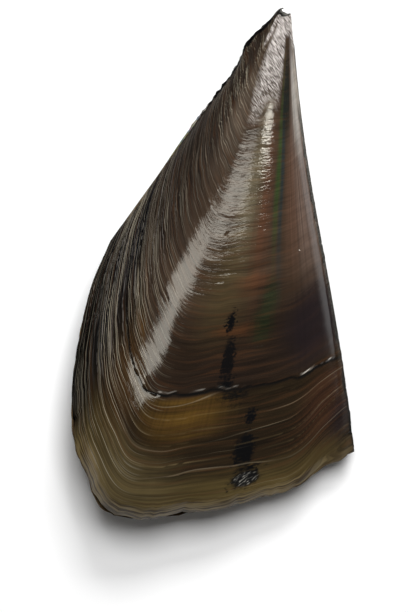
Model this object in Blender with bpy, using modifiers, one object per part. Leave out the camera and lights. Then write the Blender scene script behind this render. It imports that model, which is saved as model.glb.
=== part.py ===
"""A pen shell: two thin wedge-shaped valves, shut, joined along a hinge by a dark ligament.

Blender 4.5, metres, +Z up. Run it with: blender --background --python part.py

The shell lies on its lower valve, as a loose one does on a table. +Y runs along the hinge towards
the beak, -X is the belly side, where the valves open, and the origin is under the middle of the
shell's box, on the table.

A valve grows by adding to its lip. Every old lip is a smaller copy of today's, drawn in towards a
single vanishing point just past the beak, so a point of the valve has two coordinates: its age, from
0 at the vanishing point to 1 at today's lip, and its ray, the angle from the hinge at which the old
lips are met.
"""

import math

import bpy
import numpy as np

MM = 0.001

# Today's lip in millimetres, from the back end of the hinge round to the belly side. The first
# number is the distance from the vanishing point along the hinge, the second the distance out.
LIP_MM = (
    (200.7, 0.0),
    (206.3, 14.1),
    (213.3, 30.1),
    (216.8, 58.7),
    (217.1, 80.7),
    (216.5, 99.1),
    (211.1, 111.2),
    (197.1, 116.7),
    (178.5, 120.3),
    (154.7, 117.7),
    (133.6, 111.3),
    (114.9, 104.0),
    (96.4, 92.9),
)
HINGE_MM = LIP_MM[0][0]
BELLY_DEG = math.degrees(math.atan2(LIP_MM[-1][1], LIP_MM[-1][0]))
RIDGE_DEG = 28.5  # ray on which each old lip turns its corner, the highest line of a valve
UPPER_BEAK_AGE = 0.046  # the beaks are worn blunt, the upper one more than the lower
LOWER_BEAK_AGE = 0.036
BEAK_ROUND = 0.035  # share of the valve over which the blunt end rounds over

PEAK_MM = 35.0  # swell of a valve before its lift and its lips bring it down
LIFT_START = 0.85
LIFT_END = 4.5
LIFT_CLOSE = 0.62
SHOULDER = 0.26  # share of the height that is gained in the round edge beside the hinge
SHOULDER_WIDTH = 0.07  # width of that edge, as a share of the way from hinge to ridge
BELLY_BEND = 2.2
BELLY_CLOSE = 0.8
HINGE_DIP_MM = 1.9  # the hinge line is drawn in along its whole length,
HINGE_WAVE_MM = 1.3  # and bends in near the beak and out near the back
HINGE_DEG = 9.0  # ray at which those bends have died out

GAPE_MM = 2.9  # half of the opening that never shuts at the back end
GAPE_DEG = 34.0  # the opening runs from the hinge round to this ray
GAPE_START = 9  # power of the age: the opening shows only beside the lip
LIP_SINK_MM = 0.8  # the sheet runs this far past the plane of the lips, and is cut off there
LIP_GAP_MM = 0.15  # half of the crack between the two valves

WALL_MM = 1.5
BEAK_WALL = 0.3  # the wall thins to this share of itself in the beak, where there is no room for it
FULL_WALL_AGE = 0.15
WORN_FLAT_MM = 0.3  # depth of the flat worn where the shell rests

# Ages at which the valve stopped growing, and the height in millimetres of the ledge left there.
GROWTH_RESTS = (
    (0.30, 0.25),
    (0.43, 0.25),
    (0.54, 0.3),
    (0.635, 0.3),
    (0.71, 0.3),
    (0.772, 0.7),
    (0.835, 0.4),
    (0.89, 0.4),
    (0.935, 0.4),
    (0.972, 0.4),
)
LEDGE_AGE = 0.005  # width of a ledge, as a share of the valve
LEDGE_FULL_MM = 6.0  # height at which a ledge is full size: it fades out towards the lips
POINTS_ALONG_LIP = 30
LIP_ROWS = 4  # rows of points after the last ledge, where the valve closes down to the lip

# The slot between the hinge edges, and the ligament in it. Both thin out towards the beak.
SLOT_AGES = (0.10, 0.957)
SLOT_HALF_MM = (0.5, 1.25)
SLOT_DEPTH_MM = 5.2
LIGAMENT_AGES = (0.11, 0.947)
LIGAMENT_CLEAR_MM = 0.32
LIGAMENT_HALF_WIDTH_MM = 2.4
LIGAMENT_PROUD_MM = 0.5  # it stands out this far past the valves' edges
LIGAMENT_POINTS = 25

REST_ROLL_DEG = 8.7  # the hinge side lies lower than the belly side
REST_PITCH_DEG = -0.6  # and the beak a little lower than the back


def clear_scene():
    for obj in list(bpy.data.objects):
        bpy.data.objects.remove(obj, do_unlink=True)


def material(name, colour, roughness):
    made = bpy.data.materials.new(name)
    made.use_nodes = True
    shader = made.node_tree.nodes["Principled BSDF"]
    shader.inputs["Base Color"].default_value = (*colour, 1.0)
    shader.inputs["Roughness"].default_value = roughness
    shader.inputs["Metallic"].default_value = 0.0
    return made


def lip_points(count):
    """Points on a smooth curve (Catmull-Rom) through LIP_MM, closer together where it turns."""
    knots = np.array(LIP_MM)
    knots = np.vstack([2 * knots[0] - knots[1], knots, 2 * knots[-1] - knots[-2]])
    t = np.linspace(0, 1, 30, endpoint=False)[:, None]
    pieces = []
    for p0, p1, p2, p3 in zip(knots, knots[1:], knots[2:], knots[3:]):
        pieces.append(
            p1
            + 0.5 * t * (p2 - p0)
            + t**2 * (p0 - 2.5 * p1 + 2 * p2 - 0.5 * p3)
            + t**3 * (1.5 * (p1 - p2) + 0.5 * (p3 - p0))
        )
    line = np.vstack([*pieces, knots[-2]])
    steps = np.diff(line, axis=0)
    heading = np.unwrap(np.arctan2(steps[:, 1], steps[:, 0]))
    turned = np.append(0, np.cumsum(np.abs(np.gradient(heading))))
    run = np.append(0, np.cumsum(np.linalg.norm(steps, axis=1)))
    place = run / run[-1] + 0.4 * turned / turned[-1]
    share = np.linspace(0, 1, count)
    share = share - 0.05 * np.sin(2 * math.pi * share)  # closer together beside hinge and belly
    return np.stack([np.interp(share * place[-1], place, line[:, k]) for k in (0, 1)], axis=1)


def ages(beak_age):
    """The ages of the rows of points: the round of the beak, and both sides of each ledge."""
    turns = np.linspace(0, math.pi / 2, 4)
    rows = list(beak_age + BEAK_ROUND * (1 - np.cos(turns)))
    starts = [rows[-1]] + [age for age, _ in GROWTH_RESTS]
    ends = [age for age, _ in GROWTH_RESTS] + [1.0]
    for start, end in zip(starts, ends):
        first = start + LEDGE_AGE
        count = LIP_ROWS if end == 1.0 else 2 + int(16 * (end - first))
        rows += list(np.linspace(first, end, count))
    return np.array(rows)


def lift(age, beak_age):
    """Height of the ridge at an age, as a share of PEAK_MM: a cone that closes down to the lip."""
    blunt = np.clip((age - beak_age) / BEAK_ROUND, 0, 1)
    beak = np.sqrt(1 - (1 - blunt) ** 2)
    return beak * age**LIFT_START * np.clip(1 - age**LIFT_END, 0, 1) ** LIFT_CLOSE


def across(ray):
    """Height across a valve on a ray, as a share of the ridge's: shoulder, long slope, belly."""
    ridge, belly = math.tan(math.radians(RIDGE_DEG)), math.tan(math.radians(BELLY_DEG))
    back = np.tan(ray) / ridge
    front = np.clip((np.tan(ray) - ridge) / (belly - ridge), 0, 1)
    shoulder = SHOULDER * (1 - np.exp(-back / SHOULDER_WIDTH))
    slope = (1 - SHOULDER) * np.sin(math.pi / 2 * np.clip(back, 0, 1))
    return np.where(back < 1, shoulder + slope, (1 - front**BELLY_BEND) ** BELLY_CLOSE)


def ledges(age):
    """Depth in millimetres below the smooth valve: each new growth starts under the old lip."""
    depth = np.zeros_like(age)
    ends = [later for later, _ in GROWTH_RESTS[1:]] + [1.0]
    for (start, drop), end in zip(GROWTH_RESTS, ends):
        inside = (age > start + LEDGE_AGE / 2) & (age <= end)
        depth[inside] += drop * (1 - (age[inside] - start) / (end - start)) ** 1.5
    return depth


def hinge_draw(age):
    """How far in from the straight line the hinge edge lies at an age, in millimetres."""
    return HINGE_DIP_MM * np.sin(math.pi * age) + HINGE_WAVE_MM * np.sin(2 * math.pi * age)


def valve_sheet(up, beak_age):
    """The outside of a valve as a grid of points, rows by age. up is 1 for the upper valve."""
    age = ages(beak_age)[:, None]
    lip = lip_points(POINTS_ALONG_LIP)
    ray = np.arctan2(lip[:, 1], lip[:, 0])[None, :]
    along = age * lip[None, :, 0]
    out = age * lip[None, :, 1] + hinge_draw(age) * np.exp(-((ray / math.radians(HINGE_DEG)) ** 2))
    height = PEAK_MM * lift(age, beak_age) * across(ray)
    height = height - ledges(age) * np.clip(height / LEDGE_FULL_MM, 0, 1)
    opening = np.sin(math.pi * np.clip(ray / math.radians(GAPE_DEG), 0, 1)) ** 0.7
    height = height + (GAPE_MM + LIP_SINK_MM) * opening * age**GAPE_START - LIP_SINK_MM
    grid = np.stack(np.broadcast_arrays(-out, -along, up * height), axis=-1)
    return grid * MM


def sheet_mesh(name, grid, flip):
    rows, columns = grid.shape[:2]
    index = np.arange(rows * columns).reshape(rows, columns)
    quads = np.stack([index[:-1, :-1], index[:-1, 1:], index[1:, 1:], index[1:, :-1]], axis=-1)
    quads = quads.reshape(-1, 4)
    if flip:
        quads = quads[:, ::-1]
    mesh = bpy.data.meshes.new(name)
    mesh.from_pydata(grid.reshape(-1, 3).tolist(), [], quads.tolist())
    mesh.update()
    mesh.shade_smooth()
    return mesh


def box(name, low, high, collection, parent=None):
    """A cutter: a cube stretched between two corners, in millimetres."""
    bpy.ops.mesh.primitive_cube_add(size=1)
    cutter = bpy.context.active_object
    cutter.name = name
    low, high = np.array(low), np.array(high)
    cutter.scale = (high - low) * MM
    cutter.location = (high + low) / 2 * MM
    cutter.parent = parent
    cutter.hide_render = True
    cutter.display_type = "WIRE"
    for owner in list(cutter.users_collection):
        owner.objects.unlink(cutter)
    collection.objects.link(cutter)
    return cutter


def cut(obj, cutter):
    modifier = obj.modifiers.new(cutter.name, "BOOLEAN")
    modifier.operation = "DIFFERENCE"
    modifier.solver = "EXACT"
    modifier.object = cutter


def make_valve(name, up, beak_age, finish, collection, parent):
    mesh = sheet_mesh(name, valve_sheet(up, beak_age), flip=up < 0)
    valve = bpy.data.objects.new(name, mesh)
    valve.parent = parent
    collection.objects.link(valve)
    mesh.materials.append(finish)
    thick = valve.vertex_groups.new(name="full_wall")
    for row, age in enumerate(ages(beak_age)):
        weight = min(1.0, (age - beak_age) / (FULL_WALL_AGE - beak_age))
        first = row * POINTS_ALONG_LIP
        thick.add(list(range(first, first + POINTS_ALONG_LIP)), weight, "REPLACE")
    wall = valve.modifiers.new("wall", "SOLIDIFY")
    wall.thickness = WALL_MM * MM
    wall.offset = -1
    wall.vertex_group = thick.name
    wall.thickness_vertex_group = BEAK_WALL
    return valve


def make_slot(collection, parent):
    """The slot's cutter: a box whose beak end is pressed flatter."""
    half_beak, half_back = SLOT_HALF_MM
    end, start = (-age * HINGE_MM for age in reversed(SLOT_AGES))
    outside = 20
    slot = box(
        "cut_slot", (-SLOT_DEPTH_MM, end, -half_back), (outside, start, half_back), collection, parent
    )
    for vertex in slot.data.vertices:
        if vertex.co.y > 0:
            vertex.co.z *= half_beak / half_back
    return slot


def make_ligament(finish, collection, parent):
    """The hinge's ligament: a flat tapering strip, drawn as a curve with an oval section."""
    half_beak, half_back = (half - LIGAMENT_CLEAR_MM for half in SLOT_HALF_MM)
    curve = bpy.data.curves.new("ligament", "CURVE")
    curve.dimensions = "3D"
    curve.bevel_depth = half_back * MM
    curve.bevel_resolution = 2
    curve.use_fill_caps = True
    spline = curve.splines.new("POLY")
    spline.points.add(LIGAMENT_POINTS - 1)
    stretch = LIGAMENT_HALF_WIDTH_MM / half_back
    for place, age in enumerate(np.linspace(*LIGAMENT_AGES, LIGAMENT_POINTS)):
        share = place / (LIGAMENT_POINTS - 1)
        taper = half_beak / half_back + (1 - half_beak / half_back) * share
        taper *= 1 - 0.5 * share**12  # its back end is rounded off
        middle = hinge_draw(age) - LIGAMENT_PROUD_MM + LIGAMENT_HALF_WIDTH_MM * taper
        point = spline.points[place]
        point.co = (-middle * MM / stretch, -age * HINGE_MM * MM, 0, 1)
        point.radius = taper
    strip = bpy.data.objects.new("ligament", curve)
    strip.scale = (stretch, 1, 1)
    strip.parent = parent
    collection.objects.link(strip)
    curve.materials.append(finish)
    return strip


def world_bounds(objects):
    """Lowest and highest corner of the evaluated objects, in world space."""
    bpy.context.view_layer.update()
    graph = bpy.context.evaluated_depsgraph_get()
    points = []
    for obj in objects:
        evaluated = obj.evaluated_get(graph)
        mesh = evaluated.to_mesh()
        points += [evaluated.matrix_world @ vertex.co for vertex in mesh.vertices]
        evaluated.to_mesh_clear()
    points = np.array(points)
    return points.min(axis=0), points.max(axis=0)


def lay_down(pose, upper, lower, ligament, cutters):
    """Stands the tilted shell on z = 0, wears a small flat where it rests, and centres it."""
    low, _ = world_bounds([lower])
    pose.location.z -= low[2] + WORN_FLAT_MM * MM
    low, high = world_bounds([upper, lower, ligament])
    pose.location.x -= (low[0] + high[0]) / 2
    pose.location.y -= (low[1] + high[1]) / 2
    table = box("cut_table", (-200, -200, -20), (200, 200, 0), cutters)
    cut(lower, table)


def main():
    clear_scene()
    shell = bpy.data.collections.new("pen_shell")
    cutters = bpy.data.collections.new("cutters")
    for collection in (shell, cutters):
        bpy.context.scene.collection.children.link(collection)
    pose = bpy.data.objects.new("rest_pose", None)
    pose.rotation_euler = (math.radians(REST_PITCH_DEG), math.radians(REST_ROLL_DEG), 0)
    shell.objects.link(pose)

    horn = material("horn_brown_shell", (0.045, 0.032, 0.018), 0.25)
    hide = material("dried_ligament", (0.008, 0.006, 0.005), 0.5)
    upper = make_valve("valve_upper", 1, UPPER_BEAK_AGE, horn, shell, pose)
    lower = make_valve("valve_lower", -1, LOWER_BEAK_AGE, horn, shell, pose)
    ligament = make_ligament(hide, shell, pose)

    slot = make_slot(cutters, pose)
    far, deep = 260, 60
    under = box("cut_under_lip", (-far, -far, -deep), (far, far, LIP_GAP_MM), cutters, pose)
    over = box("cut_over_lip", (-far, -far, -LIP_GAP_MM), (far, far, deep), cutters, pose)
    for valve, past_lip in ((upper, under), (lower, over)):
        cut(valve, slot)
        cut(valve, past_lip)
    lay_down(pose, upper, lower, ligament, cutters)


main()
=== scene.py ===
# %% [markdown]
# A pen shell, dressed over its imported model.
# A pen shell is a big thin wedge of a clam. It lives point down in sand or mud, and its two valves
# are more horn than stone: dark, springy and glossy, with every old lip still written on them.
# The model under this script has the right size and the right place, but its faces are plain.
# This lesson makes both valves again as fine surfaces, worked out with numpy, and gives them a
# finish that follows the way the shell grew.

# %% Load the frame
import math

import bpy
import numpy as np
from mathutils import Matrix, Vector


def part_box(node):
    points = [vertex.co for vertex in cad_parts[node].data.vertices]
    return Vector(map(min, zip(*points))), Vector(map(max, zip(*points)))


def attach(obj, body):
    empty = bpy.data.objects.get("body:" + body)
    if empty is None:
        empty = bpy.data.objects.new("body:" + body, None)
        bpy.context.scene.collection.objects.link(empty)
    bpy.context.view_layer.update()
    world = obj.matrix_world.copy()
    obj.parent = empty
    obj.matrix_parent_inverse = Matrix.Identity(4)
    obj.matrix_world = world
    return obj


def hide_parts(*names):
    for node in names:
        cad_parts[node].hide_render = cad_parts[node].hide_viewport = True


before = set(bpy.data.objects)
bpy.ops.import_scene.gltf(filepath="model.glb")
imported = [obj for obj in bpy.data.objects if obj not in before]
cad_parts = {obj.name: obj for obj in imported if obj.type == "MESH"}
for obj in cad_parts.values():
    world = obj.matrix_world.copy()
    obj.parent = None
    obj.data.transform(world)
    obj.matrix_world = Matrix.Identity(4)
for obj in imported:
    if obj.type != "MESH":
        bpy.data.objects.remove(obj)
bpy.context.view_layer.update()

MM = 0.001


def into_scene(name, data):
    """A new object in the scene for a mesh, a lamp or a camera."""
    made = bpy.data.objects.new(name, data)
    bpy.context.scene.collection.objects.link(made)
    return made


# %% [markdown]
# The shape comes from growth. A valve only ever adds to its lip, so every old lip is a smaller copy
# of today's, drawn in towards one point just past the beak. A point of the valve then has two
# numbers. Its age runs from 0 at that point to 1 at today's lip. Its share says how far along the
# lip it lies, from 0 at the hinge to 1 at the belly side.
# One could sculpt the wedge by hand, but then ridges, colours and cracks would have to be lined up
# by eye. With age and share as the two parameters of the surface they line up by themselves.

# %% Today's lip and the swell of a valve
LIP_MM = (
    (200.7, 0.0), (206.3, 14.1), (213.3, 30.1), (216.8, 58.7), (217.1, 80.7),
    (216.5, 99.1), (211.1, 111.2), (197.1, 116.7), (178.5, 120.3), (154.7, 117.7),
    (133.6, 111.3), (114.9, 104.0), (96.4, 92.9),
)  # along the hinge from the vanishing point, and out from it, as the model has them
HINGE_MM = LIP_MM[0][0]
RIDGE_DEG = 28.5
BELLY_DEG = math.degrees(math.atan2(LIP_MM[-1][1], LIP_MM[-1][0]))
BEAK_AGES = {"valve_upper": 0.046, "valve_lower": 0.036}
BEAK_ROUND = 0.035
PEAK_MM = 35.0
LIFT_START, LIFT_END, LIFT_CLOSE = 0.85, 4.5, 0.62
SHOULDER, SHOULDER_WIDTH = 0.26, 0.07
BELLY_BEND, BELLY_CLOSE = 2.0, 0.75
CREST_BLEND_DEG = 6.5
HINGE_DIP_MM, HINGE_WAVE_MM, HINGE_DEG = 1.9, 1.3, 9.0
GAPE_MM, GAPE_DEG, GAPE_START = 2.9, 34.0, 9
LIP_SINK_MM, LIP_GAP_MM = 0.8, 0.15
TILT_ROLL_DEG, TILT_PITCH_DEG = 8.7, -0.6


def lip_at(share):
    """Points of today's lip: a smooth curve through LIP_MM, read at even shares of its length."""
    knots = np.array(LIP_MM)
    knots = np.vstack([2 * knots[0] - knots[1], knots, 2 * knots[-1] - knots[-2]])
    t = np.linspace(0, 1, 40, endpoint=False)[:, None]
    p0, p1, p2, p3 = knots[:-3, None], knots[1:-2, None], knots[2:-1, None], knots[3:, None]
    bend = t**2 * (p0 - 2.5 * p1 + 2 * p2 - 0.5 * p3) + t**3 * (1.5 * (p1 - p2) + 0.5 * (p3 - p0))
    line = np.vstack([(p1 + 0.5 * t * (p2 - p0) + bend).reshape(-1, 2), knots[-2]])
    run = np.append(0, np.cumsum(np.linalg.norm(np.diff(line, axis=0), axis=1)))
    return np.stack([np.interp(share * run[-1], run, line[:, k]) for k in (0, 1)], axis=-1)


def lift(age, beak_age):
    """Height of the ridge at an age: a cone from the blunt beak that closes down to today's lip."""
    blunt = np.clip((age - beak_age) / BEAK_ROUND, 0, 1)
    beak = np.sqrt(1 - (1 - blunt) ** 2)
    return beak * age**LIFT_START * np.clip(1 - age**LIFT_END, 0, 1) ** LIFT_CLOSE


def across(ray):
    """Height across the valve: a round shoulder at the hinge, a long slope, the ridge, the belly."""
    ridge, belly = math.tan(math.radians(RIDGE_DEG)), math.tan(math.radians(BELLY_DEG))
    back = np.tan(ray) / ridge
    front = np.clip((np.tan(ray) - ridge) / (belly - ridge), 0, 1)
    shoulder = SHOULDER * (1 - np.exp(-back / SHOULDER_WIDTH))
    slope = (1 - SHOULDER) * np.sin(math.pi / 2 * np.clip(back, 0, 1))
    return np.where(back < 1, shoulder + slope, (1 - front**BELLY_BEND) ** BELLY_CLOSE)


def crest(lip, ray):
    """Factor on the height, the lip's radius over its blur, that keeps the corner off the ridge."""
    radius = np.log(np.hypot(lip[:, 0], lip[:, 1]))
    away = (ray[0][:, None] - ray[0][None, :]) / math.radians(CREST_BLEND_DEG)
    weight = np.exp(-(away**2) / 2) * np.gradient(ray[0])[None, :]
    factor = np.exp(LIFT_START * (radius - weight @ radius / weight.sum(axis=1)))[None, :]
    return factor / (factor * across(ray)).max()


def hinge_draw(age):
    """How far in from a straight line the hinge edge lies: one long dip and a slight wave."""
    return HINGE_DIP_MM * np.sin(math.pi * age) + HINGE_WAVE_MM * np.sin(2 * math.pi * age)


LIP_RUN_MM = np.linalg.norm(np.diff(lip_at(np.linspace(0, 1, 400)), axis=0), axis=1).sum()
print("today's lip is", round(LIP_RUN_MM), "mm long from hinge to belly")

# %% [markdown]
# A shell is never even. The lines of growth wander, scales break off, the point is worn by sand.
# Blender's Displace modifier could roughen the mesh, but it doesn't know about ages and shares.
# A small noise function in numpy does: it takes any two numbers for each point of the surface.

# %% Helpers for uneven things
def smooth(x):
    """0 below 0, 1 above 1, and an S-shaped slope between."""
    x = np.clip(x, 0, 1)
    return x * x * (3 - 2 * x)


def rise(x, start, width):
    """0 up to start, and 1 from start plus width on."""
    return smooth((x - start) / width)


def fall(x, end, width):
    """1 up to width before end, and 0 from end on."""
    return smooth((end - x) / width)


def noise(x, y, seed):
    """Uneven heights from -1 to 1: random values on a square lattice, joined by smooth slopes."""
    size = 256
    lattice = np.random.default_rng(seed).uniform(-1, 1, (size, size))
    x, y = np.broadcast_arrays(x, y)
    column, row = np.floor(x).astype(int), np.floor(y).astype(int)
    right, down = smooth(x - column), smooth(y - row)
    column, row, next_column, next_row = (k % size for k in (column, row, column + 1, row + 1))
    top = lattice[row, column] * (1 - right) + lattice[row, next_column] * right
    bottom = lattice[next_row, column] * (1 - right) + lattice[next_row, next_column] * right
    return top * (1 - down) + bottom * down


def waves(x, y, seed, rows):
    """A sum of noises: each row says how many waves lie over x and over y, and how high they are."""
    return sum(high * noise(x * many, y * more, seed + k) for k, (many, more, high) in enumerate(rows))


def patch(share, age, centre, half, edge=1.0):
    """A soft oval in share and age: 1 in its middle and 0 outside. edge is the share that fades."""
    away = np.hypot((share - centre[0]) / half[0], (age - centre[1]) / half[1])
    return smooth((1 - away) / edge)


print("helpers ready")

# %% [markdown]
# Growth leaves scales. The mantle lays a thin sheet past the lip, rests, then starts the next sheet
# from under it, so each sheet ends in a free edge and the next one rises to meet it. Across the
# ages this is a saw: a slow rise and a sudden drop. The scales are coarse and ragged on the belly
# side, hair fine on the long slope, and one long rest left a real step, low on the valve.
# A bump map alone would leave the outline and the highlights too clean, so the scales are shape.

# %% The scales and ledges of growth
RESTS = ((0.30, 0.25), (0.43, 0.25), (0.54, 0.3), (0.635, 0.3), (0.71, 0.3),
         (0.835, 0.4), (0.89, 0.4), (0.935, 0.4), (0.972, 0.4))  # age, and depth in millimetres
REST_RUN = 0.055
WANDER = ((6, 7, 0.0045), (26, 40, 0.0016))  # waves over the share and the age, and how high
RIPPLES_MM = ((13, 95, 0.020), (7, 24, 0.03))
FRAY_AGE, CORNER_AGE = 0.0026, 0.032  # how far lines fray on the belly, and rise in the hinge corner
BREAK_AGE, BREAK_MM, BREAK_RUN = 0.772, 0.8, 0.06
BREAK_WANDER = ((0, 0.016), (0.1, 0.005), (0.2, -0.001), (0.33, -0.006), (0.44, -0.012),
                (0.49, -0.004), (0.52, 0.014), (0.62, 0.004), (1, 0))  # share, and age past the rest


def saw(age, edges):
    """Which sheet a point belongs to, and how far through it lies: 0 at its start, 1 at its edge."""
    sheet = np.clip(np.searchsorted(edges, age, side="right") - 1, 0, len(edges) - 2)
    return sheet, np.clip((age - edges[sheet]) / (edges[sheet + 1] - edges[sheet]), 0, 1)


def sheet_edges(seed, smallest, largest):
    """Ages of the free edges, at seeded uneven distances."""
    gaps = np.random.default_rng(seed).uniform(smallest, largest, int(1.2 / smallest))
    edges = np.append(0.0, np.cumsum(gaps))
    return edges[: np.searchsorted(edges, 1.1)]


def wandering_age(share, age, seed):
    """Age with the wander of the growth lines added: long waves, and a ragged fray on the belly."""
    belly = rise(share, 0.52, 0.2)
    fray = FRAY_AGE * belly * noise(share * 70, age * 55, seed + 2)
    corner = CORNER_AGE * smooth(1 - share / 0.16) * rise(age, 0.79, 0.08) * fall(age, 1, 0.03)
    return age + (waves(share, age, seed, WANDER) + fray + corner) * rise(age, 0.05, 0.1)


def growth_relief(share, age, seed):
    """Depth in millimetres below the smooth valve, and how near points are to coarse and fine edges."""
    belly = rise(share, 0.50, 0.24)
    late = rise(age, 0.45, 0.3)
    line = wandering_age(share, age, seed)
    depth, edges = np.zeros_like(line), []
    kinds = (  # seed, closest, widest, depth at the hinge, added on the belly, how broken, edge from
        (seed + 11, 0.017, 0.034, 0.02, 0.40 * (0.35 + 0.65 * late), 9, 0.88),
        (seed + 12, 0.0062, 0.0125, 0.006, 0.11 * (0.3 + 0.7 * late), 12, 0.80),
    )
    for own_seed, closest, widest, plain, added, broken, edge_from in kinds:
        sheet, through = saw(line, sheet_edges(own_seed, closest, widest))
        strength = 0.55 + 0.45 * noise(share * broken + sheet * 5.13, sheet * 3.71, own_seed)
        depth += (plain + added * belly) * strength * (1 - through) ** 1.4
        torn = smooth(0.5 + 0.9 * noise(share * broken, sheet * 7.7, own_seed + 1))
        edges.append(strength**2 * torn * rise(through, edge_from, 0.1))
    depth += waves(share, line, seed + 13, RIPPLES_MM) * (0.22 + 0.78 * rise(age, 0.35, 0.2))
    layered = rise(age, 0.955, 0.03)
    layers = saw(line, sheet_edges(seed + 15, 0.005, 0.009))[1]
    depth += 0.22 * layered * (1 - layers) * (0.4 + 0.6 * belly)
    for start, drop in RESTS:
        after = (line - start) / REST_RUN
        depth += np.where(after > 0, drop * np.clip(1 - after, 0, 1) ** 1.5, 0) * (0.15 + 0.85 * belly)
    return depth, edges, line


print("coarse edges", len(sheet_edges(11, 0.017, 0.034)))
print("fine edges", len(sheet_edges(12, 0.0062, 0.0125)))

# %% [markdown]
# The upper valve carries its history: the long rest with its jagged step, a rough pit near the lip,
# and a point that sand and sea have worn to chalk, with slanting cracks. Each is one more depth in
# millimetres, written in the same two numbers, so it sits where the growth lines say.

# %% Wear and damage
PIT, PIT_MM, PIT_HALF, PIT_STAIN_HALF = (0.236, 0.952), 0.75, (0.03, 0.016), (0.036, 0.019)
NOTCH, NOTCH_MM, NOTCH_HALF = (0.497, 0.772), 0.9, (0.022, 0.010)  # where the step meets the ridge
STEP_TEETH = ((55, 0, 0.0022), (17, 0, 0.003))
GOUGE_MM = 0.14
GOUGES = (((0.385, 0.540), (0.022, 0.0030)), ((0.395, 0.556), (0.010, 0.0030)),
          ((0.185, 0.262), (0.05, 0.004)), ((0.417, 0.463), (0.005, 0.006)),
          ((0.245, 0.695), (0.035, 0.004)), ((0.06, 0.523), (0.022, 0.006)),
          ((0.105, 0.528), (0.006, 0.009)), ((0.128, 0.522), (0.005, 0.010)))  # centre, half size
# Glints are painted highlights on the long rest's lifted edge, which is partly chipped pale horn.
BREAK_GLINTS = ((0.03, 0.009, 0.8), (0.10, 0.024, 1.0), (0.30, 0.04, 0.12),
                (0.385, 0.022, 0.25), (0.458, 0.022, 0.35))  # share, reach, strength


def break_line(share):
    """Age of the long rest's step along the lip, ragged on a small scale."""
    knots = np.array(BREAK_WANDER)
    return BREAK_AGE + np.interp(share, knots[:, 0], knots[:, 1]) + waves(share, share, 61, STEP_TEETH)


def wear(share, age, line, seed, marked):
    """Depth in mm of all wear, and masks: bare chalk, the step's glint (painted highlight) and root
    (painted shade), and the pit.
    """
    belly = rise(share, 0.52, 0.2)
    after = (line - break_line(share)) / BREAK_RUN
    step = BREAK_MM * (0.5 + 0.5 * rise(share, 0.3, 0.2)) * (1 - 0.4 * belly)
    depth = np.where(after > 0, step * np.clip(1 - after, 0, 1) ** 1.3, 0)
    lifted = smooth(1 - np.abs(after + 0.03) / 0.038)
    depth -= 0.12 * step * lifted
    ragged = 0.03 * noise(share * 9, age * 30, seed + 31)
    cap = smooth((0.125 - age + ragged) / 0.05) * smooth((0.76 - share + 4 * ragged) / 0.12)
    field = rise(share, 0.2, 0.08) * fall(share, 0.62, 0.16)
    field = smooth((0.27 - age + ragged) / 0.13) * field
    bare = np.maximum(cap, field)
    slant = noise(share * 40 * age + age * 110, age * 30 - share * 8, seed + 32)
    lumps = noise(share * 9, age * 40, seed + 33)
    depth += bare * (0.07 * slant + 0.12 * lumps + 0.1)
    if marked:
        rough = noise(share * 260 + age * 200, age * 190 - share * 110, 35)
        depth += PIT_MM * patch(share, age, PIT, PIT_HALF, 0.7) * (0.8 + 0.22 * rough)
        depth += NOTCH_MM * patch(share, age, NOTCH, NOTCH_HALF, 0.6)
        for centre, half in GOUGES:
            depth += GOUGE_MM * patch(share, line, centre, half, 0.6)
    # Painted highlight along the step's lifted edge, partly its chipped pale horn, at the shares of
    # BREAK_GLINTS.
    glint = sum(
        strength * patch(share, age * 0, (middle, 0), (reach, 1), 0.4)
        for middle, reach, strength in BREAK_GLINTS
    )
    glint = np.clip(glint * (0.9 + 1.5 * noise(share * 90, share * 0, 63)), 0, 1) * lifted**2
    pit = patch(share, age, PIT, PIT_STAIN_HALF, 0.5) * marked
    # Painted shade: the dark line in the crease at the foot of the step.
    root = smooth(after / 0.03) * fall(after, 0.16, 0.1)
    return depth, bare, glint, root, pit


print("the long rest's step at the ridge is at age", round(float(break_line(np.array(0.5))), 3))

# %% [markdown]
# Now a valve can be built. Its outside is the smooth form less the depths above, moved along the
# surface's own normal so that the steep belly side gets its scales sideways. Its inside is the
# smooth form set back by the wall, 1.5 mm thick and thinner at the lip and in the beak. A strip of
# triangles round the rim joins the two, so the mesh is closed. Solidify could give the wall too,
# but it would copy every scale to the inside, where the real shell is polished.

# %% Grids of a valve
ROWS, COLUMNS = 403, 205
BEAK_ROWS, LIP_ROWS, LIP_ROWS_AGE = 14, 17, 0.984  # rows lie closer at both ends
ROW_STEP, COLUMN_STEP = 6, 2  # the inside takes every sixth row and every second column
WALL_MM, LIP_WALL_MM, RIM_MM = 1.5, 0.7, 0.4
TIP_WORN_MM = {"valve_upper": 8.6, "valve_lower": 6.4}  # the point is worn back to here along the hinge
TIP_CRUST_MM, TIP_CRUST_AGES = 3.3, (0.19, 0.10)  # swollen black crust on the belly edge: middle, reach
# Rows of waves: how many over the first place, how many over the second, and how high.
BELLY_FRAY_MM, HINGE_KNOBS_MM = ((70, 0, 0.55), (160, 0, 0.5)), ((85, 0, 0.28), (30, 0, 0.2))
LIP_CHIPS, NICK_AGE = ((34, 0, 0.0035), (90, 0, 0.002)), 0.008  # as shares of the age
STEEPEST = 0.12  # least upward part of a normal that the wall is measured with
SLOT_AGES, SLOT_HALF_MM, SLOT_DEPTH_MM = (0.10, 0.957), (0.5, 1.25), 5.2


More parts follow.
